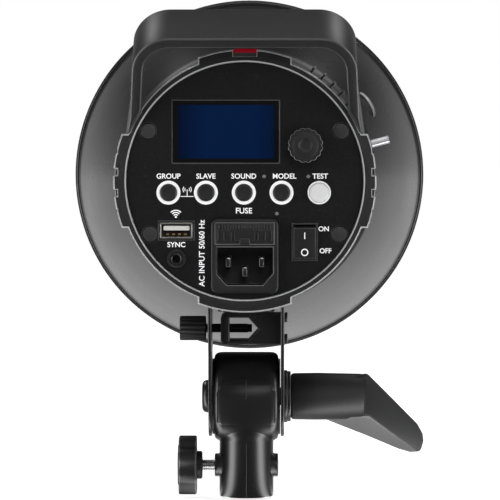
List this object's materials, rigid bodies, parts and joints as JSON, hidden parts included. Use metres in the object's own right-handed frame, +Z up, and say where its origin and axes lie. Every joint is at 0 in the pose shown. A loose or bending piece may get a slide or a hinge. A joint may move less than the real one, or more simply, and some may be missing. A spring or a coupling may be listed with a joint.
{
  "type": "studio monolight strobe",
  "caption": "Studio monolight flash head with bowl reflector, carrying handle, rear control panel, tilt bracket, umbrella holder and stand socket.",
  "frame": {"origin": "centre of the stand socket's mouth, on the socket's axis", "axes": "+Z up along the socket, +Y the way the lamp shines, +X to the right seen from behind"},
  "size_m": [0.18, 0.3587, 0.233],
  "materials": {
    "black_plastic": "fine textured, matte",
    "brass": "turned",
    "fibre": "fibre",
    "nylon": "matte",
    "steel": "bright",
    "steel_black": "satin black paint",
    "red_plastic": "clear",
    "panel_plastic": "fine grain, matte",
    "grey_plastic": "matte",
    "display_blue": "glossy",
    "white_plastic": "semi gloss",
    "board_green": "printed board",
    "gloss_black": "semi gloss",
    "clear_glass": "clear",
    "aluminium": "mill",
    "copper": "wound wire",
    "chrome": "polished",
    "ceramic": "glazed",
    "reflector_paint": "satin outside, bright inside"
  },
  "bodies": {
    "stand_head": {"tilt_head": "black_plastic", "lock_insert": "brass", "friction_washers": "fibre"},
    "lamp": {"tilt_bracket": "steel_black", "bracket_screws": "steel_black", "tilt_bolt": "steel_black", "tilt_washers": "steel_black", "umbrella_block": "black_plastic", "umbrella_block_screws": "steel_black", "handle": "black_plastic", "handle_screws": "steel_black", "housing_top": "black_plastic", "housing_bottom": "black_plastic", "rear_bezel": "black_plastic", "sensor_window": "red_plastic", "rear_panel": "panel_plastic", "panel_plugs": "grey_plastic", "panel_screws": "steel", "lcd_window": "display_blue", "lcd_module": "grey_plastic", "dial_encoder": "grey_plastic", "button_rings": "white_plastic", "control_board": "board_green", "usb_socket": "steel", "sync_jack": "gloss_black", "inlet_housing": "black_plastic", "inlet_pins": "steel", "rocker_frame": "gloss_black", "chassis": "aluminium", "main_board": "board_green", "transformer": "copper", "capacitors": "aluminium", "fan_frame": "gloss_black", "front_collar": "black_plastic", "bayonet_ring": "aluminium", "lamp_plate": "aluminium", "lamp_holder": "ceramic", "modelling_lamp": "clear_glass", "flash_tube": "clear_glass"},
    "tilt_lever": {"tilt_lever": "black_plastic", "lever_nut": "steel"},
    "lock_pad": {"lock_pad": "nylon"},
    "lock_knob": {"lock_knob": "black_plastic", "lock_screw": "steel"},
    "umbrella_pad": {"umbrella_pad": "nylon"},
    "umbrella_thumbscrew": {"umbrella_thumbscrew": "steel_black"},
    "dial": {"dial_knob": "black_plastic", "dial_shaft": "steel"},
    "channel_button": {"channel_button": "black_plastic"},
    "slave_button": {"slave_button": "black_plastic"},
    "sound_button": {"sound_button": "black_plastic"},
    "lamp_button": {"lamp_button": "black_plastic"},
    "test_button": {"test_button": "white_plastic"},
    "rocker": {"rocker": "gloss_black"},
    "fuse_drawer": {"fuse_drawer": "black_plastic", "fuse": "clear_glass"},
    "release_latch": {"release_latch": "chrome"},
    "reflector": {"reflector": "reflector_paint"},
    "fan_rotor": {"fan_rotor": "gloss_black"}
  },
  "joints": [
    {"name": "lamp_tilt", "type": "hinge", "parent": "stand_head", "child": "lamp", "pos_m": [0, 0, 0.045], "axis": [1, 0, 0], "range_deg": [-75, 90]},
    {"name": "tilt_lever_turn", "type": "hinge", "parent": "lamp", "child": "tilt_lever", "pos_m": [0.03, 0, 0.045], "axis": [1, 0, 0], "range_deg": [0, 120]},
    {"name": "lock_travel", "type": "slide", "parent": "stand_head", "child": "lock_pad", "axis": [1, 0, 0], "range_m": [0, 0.0045]},
    {"name": "lock_turn", "type": "hinge", "parent": "lock_pad", "child": "lock_knob", "pos_m": [-0.02, 0, 0.014], "axis": [1, 0, 0], "range_deg": [0, 2025.5]},
    {"name": "umbrella_travel", "type": "slide", "parent": "lamp", "child": "umbrella_pad", "axis": [1, 0, 0], "range_m": [-0.009, 0.001]},
    {"name": "umbrella_turn", "type": "hinge", "parent": "umbrella_pad", "child": "umbrella_thumbscrew", "pos_m": [-0.02, 0, 0.07575], "axis": [1, 0, 0], "range_deg": [-4629.07, 514.79]},
    {"name": "dial_turn", "type": "hinge", "parent": "lamp", "child": "dial", "pos_m": [0.0253, -0.105, 0.1579], "axis": [0, 1, 0], "continuous": true},
    {"name": "channel_button_press", "type": "slide", "parent": "lamp", "child": "channel_button", "axis": [0, 1, 0], "range_m": [0, 0.0008], "stiffness_N_per_m": 600, "springref_m": -0.002},
    {"name": "slave_button_press", "type": "slide", "parent": "lamp", "child": "slave_button", "axis": [0, 1, 0], "range_m": [0, 0.0008], "stiffness_N_per_m": 600, "springref_m": -0.002},
    {"name": "sound_button_press", "type": "slide", "parent": "lamp", "child": "sound_button", "axis": [0, 1, 0], "range_m": [0, 0.0008], "stiffness_N_per_m": 600, "springref_m": -0.002},
    {"name": "lamp_button_press", "type": "slide", "parent": "lamp", "child": "lamp_button", "axis": [0, 1, 0], "range_m": [0, 0.0008], "stiffness_N_per_m": 600, "springref_m": -0.002},
    {"name": "test_button_press", "type": "slide", "parent": "lamp", "child": "test_button", "axis": [0, 1, 0], "range_m": [0, 0.0008], "stiffness_N_per_m": 600, "springref_m": -0.002},
    {"name": "rocker_throw", "type": "hinge", "parent": "lamp", "child": "rocker", "pos_m": [0.0251, -0.1032, 0.1174], "axis": [-1, 0, 0], "range_deg": [0, 16]},
    {"name": "fuse_drawer_slide", "type": "slide", "parent": "lamp", "child": "fuse_drawer", "axis": [0, -1, 0], "range_m": [0, 0.015]},
    {"name": "release_latch_pull", "type": "slide", "parent": "lamp", "child": "release_latch", "axis": [0.9664, 0, 0.2571], "range_m": [0, 0.004], "stiffness_N_per_m": 500, "springref_m": -0.003},
    {"name": "reflector_twist", "type": "hinge", "parent": "lamp", "child": "reflector", "pos_m": [0, 0.11, 0.143], "axis": [0, 1, 0], "range_deg": [0, 25]},
    {"name": "fan_spin", "type": "hinge", "parent": "lamp", "child": "fan_rotor", "pos_m": [0, 0.035, 0.143], "axis": [0, 1, 0], "continuous": true}
  ],
  "couplings": [
    {"joint": "lock_turn", "follows": "lock_travel", "rad_per_m": 7854},
    {"joint": "umbrella_turn", "follows": "umbrella_travel", "rad_per_m": 8976}
  ]
}
